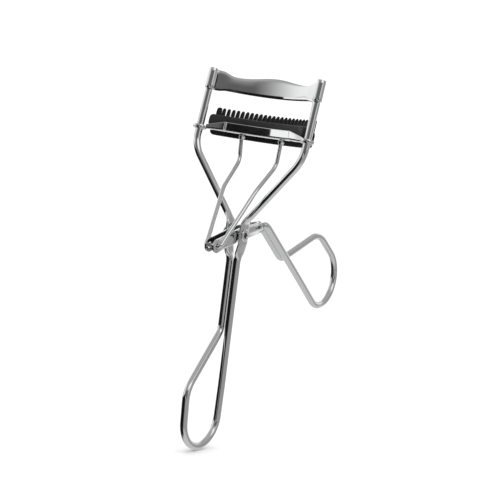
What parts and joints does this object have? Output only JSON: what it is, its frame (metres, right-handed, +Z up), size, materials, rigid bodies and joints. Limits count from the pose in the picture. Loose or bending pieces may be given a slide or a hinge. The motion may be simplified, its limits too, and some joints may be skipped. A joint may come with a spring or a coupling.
{
  "type": "eyelash curler",
  "caption": "Chrome wire eyelash curler with finger loops, a pivoting lever, a push wire and a sliding curved jaw that carries a lash pad and a black lash comb.",
  "frame": {"origin": "centre of the bounding box, at its lowest point, with the fixed handle upright and the jaws open at rest", "axes": "+Z up along the fixed handle towards the jaws, +Y towards the moving handle's side, +X to the right along the pivot rivet"},
  "size_m": [0.041, 0.0832, 0.1112],
  "materials": {
    "polished_steel": "mirror polished chrome plate on steel wire and strip",
    "handle_steel": "bright chrome plate, slightly softer than the frame",
    "comb_plastic": "black moulded plastic, satin",
    "pad_silicone": "black silicone, satin"
  },
  "bodies": {
    "frame": {"frame_wire": "polished_steel", "upper_jaw": "polished_steel", "pivot_rivet": "polished_steel"},
    "lever": {"lever_bracket": "handle_steel", "handle_wire": "handle_steel"},
    "pusher": {"push_wire": "polished_steel"},
    "jaw": {"lower_jaw": "polished_steel", "lash_pad": "pad_silicone", "lash_comb": "comb_plastic"}
  },
  "joints": [
    {"name": "lever_pivot", "type": "hinge", "parent": "frame", "child": "lever", "pos_m": [0, -0.02515, 0.06368], "axis": [-1, 0, 0], "range_deg": [-5, 38]},
    {"name": "push_wire_hook", "type": "hinge", "parent": "lever", "child": "pusher", "pos_m": [0, -0.03673, 0.06056], "axis": [1, 0, 0], "range_deg": [-4.7, 35.5]},
    {"name": "jaw_slide", "type": "slide", "parent": "frame", "child": "jaw", "axis": [0, 0.2181, 0.9759], "range_m": [-0.00095, 0.00706]}
  ],
  "couplings": [
    {"joint": "push_wire_hook", "follows": "lever_pivot", "ratio": 0.932},
    {"joint": "jaw_slide", "follows": "lever_pivot", "m_per_rad": 0.01061}
  ]
}
